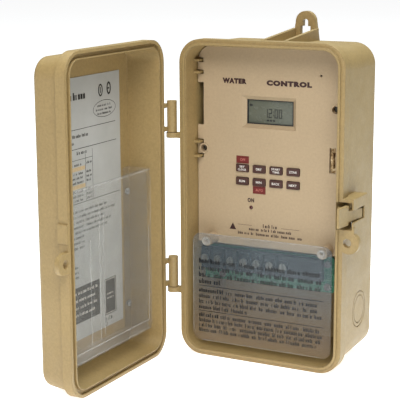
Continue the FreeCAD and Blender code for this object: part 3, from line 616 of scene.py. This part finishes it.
def print_guard():
    """The notes on the clear sheet, and pale strips along its cut edges that are painted highlights."""
    face = on_front(GUARD_FACE)
    rng = random.Random(11)
    left = -55.0
    text = Print("guard_print", face, print_black, "case")
    text.bars((left, -70.0, 51.5, -69.5), (left, -90.5, 51.5, -90.0))
    # base line, right end, line height and letters of the bold opening word
    rows = ((-51.6, 49.6, 4.0, 8), (-57.1, 49.6, 4.0, 0), (-62.6, 49.6, 4.0, 0), (-68.0, -34.0, 4.0, 0),
            (-75.0, 49.6, 3.3, 11), (-79.6, 49.6, 3.3, 0), (-84.2, 49.6, 3.3, 0), (-88.7, -13.0, 3.3, 0),
            (-95.2, 50.0, 3.3, 9), (-99.4, 50.0, 3.3, 0), (-103.5, 50.0, 3.3, 0), (-107.5, 50.0, 3.3, 0))
    for v, right, high, heavy in rows:
        text.line(rng, left, right, v, high, bold=1.35, heavy=heavy)
    text.done()
    # pale strips along the sheet's edges: painted highlights
    edge = Print("guard_edge_highlights", face, clear_rivets_and_highlights, "case", lift=-0.4, thick=0.45)
    edge.bars((-60.1, -108.0, -59.6, -34.0), (-54.0, -28.0, 50.0, -27.6), (-52.0, -114.4, 49.0, -114.0))
    edge.done()


def print_label():
    face = on_door(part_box("door_label")[1].x / MM)
    rng = random.Random(5)
    left = -188.0
    text = Print("label_print", face, print_black, "door")
    # heading, with two rings and an oval beside it
    text.line(rng, left, -145.0, 84.6, 5.6, bold=1.9)
    text.ring(-124.3, 88.4, 3.1, 4.7, 1.2)
    text.bars((-124.9, 86.2, -123.9, 90.6))
    text.ring(-112.8, 88.9, 3.0, 4.8, 1.5)
    text.bars((-114.4, 88.3, -112.0, 89.5))
    text.ring(-119.2, 74.4, 15.6, 6.4, 0.35)
    for row, (start, stop) in enumerate(((-129, -110), (-131, -108), (-129, -110))):
        text.line(rng, start, stop, 76.2 - 3.0 * row, 1.8)
    text.bars((left, 62.9, -104.3, 63.3), (left, 48.7, -103.4, 49.1), (left, 8.4, -99.0, 8.8))
    text.line(rng, left, -139.0, 57.0, 2.6, bold=1.2)
    text.line(rng, left, -160.0, 52.4, 2.2)
    # table of settings; its stripes stand in for rows 1 and 5
    text.bars((left, 40.6, -137.0, 40.9), (-137.3, 8.6, -137.0, 46.5), (-146.8, 8.6, -146.5, 44.0))
    text.line(rng, -158.0, -145.0, 44.5, 2.6, bold=1.2)
    for row in (0, 2, 3, 4, 6, 7, 8):
        v = 36.4 - 3.3 * row
        text.line(rng, left, -150.0, v, 2.0)
        text.line(rng, -145.5, -138.5, v, 2.0)
    # notes below the table
    for row, stop in enumerate((-118.0, -106.0, -122.0, -112.0, -118.0, -150.0, -150.0, -150.0)):
        text.line(rng, left, stop, 1.6 - 3.9 * row, 2.3)
    for row in range(3):
        text.line(rng, left, -158.0, -40.0 - 3.8 * row, 2.2)
    # small plate and mark at the foot
    text.bars((-124.3, -85.7, -107.6, -57.2))
    text.line(rng, -124.0, -113.5, -90.2, 3.4, bold=1.5)
    text.ring(-122.6, -92.6, 1.8, 1.8, 0.4)
    text.done()
    grey = Print("label_block", face, print_grey, "door")
    grey.bars((left, -82.0, -131.0, -54.5))
    grey.done()
    stripes = Print("label_stripes", face, print_tan, "door")
    stripes.bars((left, 32.6, -147.4, 35.6), (left, 19.4, -147.4, 22.4))
    stripes.done()
    # white print on the plate and on the grey block
    pale = Print("label_reversed", face, print_white, "door", lift=0.06)
    pale.bars((-123.3, -84.9, -122.9, -58.0), (-109.0, -84.9, -108.6, -58.0), (-122.9, -58.4, -109.0, -58.0),
              (-122.9, -84.9, -109.0, -84.5))
    for row in range(2):
        pale.line(rng, -120.8, -111.0, -70.0 - 3.4 * row, 1.6)
    for row in range(4):
        pale.line(rng, left + 2, -134.0, -60.0 - 5.6 * row, 2.6)
    pale.done()


highlight_pouch_creases()
print_panel()
print_keys()
print_display()
print_guard()
print_label()


# --------------------------------------------------------------------- studio
WHITE = (1.0, 1.0, 1.0)
FLOOR_DROP = 0.0004
# The floor glows so that it stays white, and less to the right and to the front, where its light
# falls on the sides of the case. Each fade starts at the dim end.
GLOW = (0.15, 0.92)
GLOW_X = (0.24, 0.115)
GLOW_Y = (-0.44, -0.25)
AIM = Vector((0, -0.05, 0))

# the main view: turn, tilt and roll in radians, place in metres, lens and sensor in mm
YAW = 0.4896
PITCH = -0.2035
ROLL = -0.0046
EYE = (0.40614, -0.92663, 0.20052)
LENS = 115.5
SENSOR = 36.0


def lay_floor():
    z = cad_box[0].z - FLOOR_DROP
    data = bpy.data.meshes.new("floor")
    data.from_pydata([(-12, -8, z), (12, -8, z), (12, 22, z), (-12, 22, z)], [], [(0, 1, 2, 3)])
    f = Finish("floor_pale")
    f.between(f.noise(3.0, detail=2.0), (0.93, 0.93, 0.93, 1), (0.95, 0.95, 0.95, 1))
    f.set(Roughness=0.9, Emission_Color=(1, 1, 1, 1))
    glow = f.node("ShaderNodeMath", operation="MULTIPLY")
    f.link(f.remap(f.place("X"), GLOW_X, GLOW, "SMOOTHSTEP"), glow.inputs[0])
    f.link(f.remap(f.place("Y"), GLOW_Y, GLOW, "SMOOTHSTEP"), glow.inputs[1])
    f.link(glow.outputs["Value"], f.bsdf.inputs["Emission Strength"])
    data.materials.append(f.mat)
    floor = bpy.data.objects.new("floor", data)
    bpy.context.scene.collection.objects.link(floor)


def light_sky():
    world = bpy.data.worlds.new("studio")
    bpy.context.scene.world = world
    world.use_nodes = True
    back = world.node_tree.nodes["Background"]
    back.inputs["Color"].default_value = (*WHITE, 1.0)
    back.inputs["Strength"].default_value = 0.10


def softbox(name, spot, size, watts, tint=WHITE):
    light = bpy.data.lights.new(name, "AREA")
    light.shape = "RECTANGLE"
    light.size = size[0]
    light.size_y = size[1]
    light.energy = watts
    light.color = tint
    holder = bpy.data.objects.new(name, light)
    holder.location = spot
    holder.rotation_euler = (AIM - Vector(spot)).to_track_quat("-Z", "Y").to_euler()
    bpy.context.scene.collection.objects.link(holder)


def set_camera():
    right = Vector((math.cos(YAW), math.sin(YAW), 0))
    ahead = Vector((-math.sin(YAW) * math.cos(PITCH), math.cos(YAW) * math.cos(PITCH), math.sin(PITCH)))
    up = right.cross(ahead)
    side = right * math.cos(ROLL) + up * math.sin(ROLL)
    top = up * math.cos(ROLL) - right * math.sin(ROLL)
    cam = bpy.data.cameras.new("camera")
    cam.sensor_width = SENSOR
    cam.lens = LENS
    cam.clip_start = 0.05
    cam.clip_end = 100.0
    eye = bpy.data.objects.new("camera", cam)
    eye.matrix_world = Matrix((
        (side.x, top.x, -ahead.x, EYE[0]),
        (side.y, top.y, -ahead.y, EYE[1]),
        (side.z, top.z, -ahead.z, EYE[2]),
        (0, 0, 0, 1)))
    bpy.context.scene.collection.objects.link(eye)
    bpy.context.scene.camera = eye


lay_floor()
light_sky()
softbox("key_light", (0.34, -0.85, 0.85), (0.8, 0.6), 10.8)
softbox("fill_light", (-0.9, -1.6, 0.5), (1.2, 1.2), 2.5)
softbox("top_light", (0.1, 0.3, 1.9), (1.8, 1.8), 62.0, tint=(0.84, 0.95, 1.0))
set_camera()
bpy.context.scene.view_settings.view_transform = "Standard"
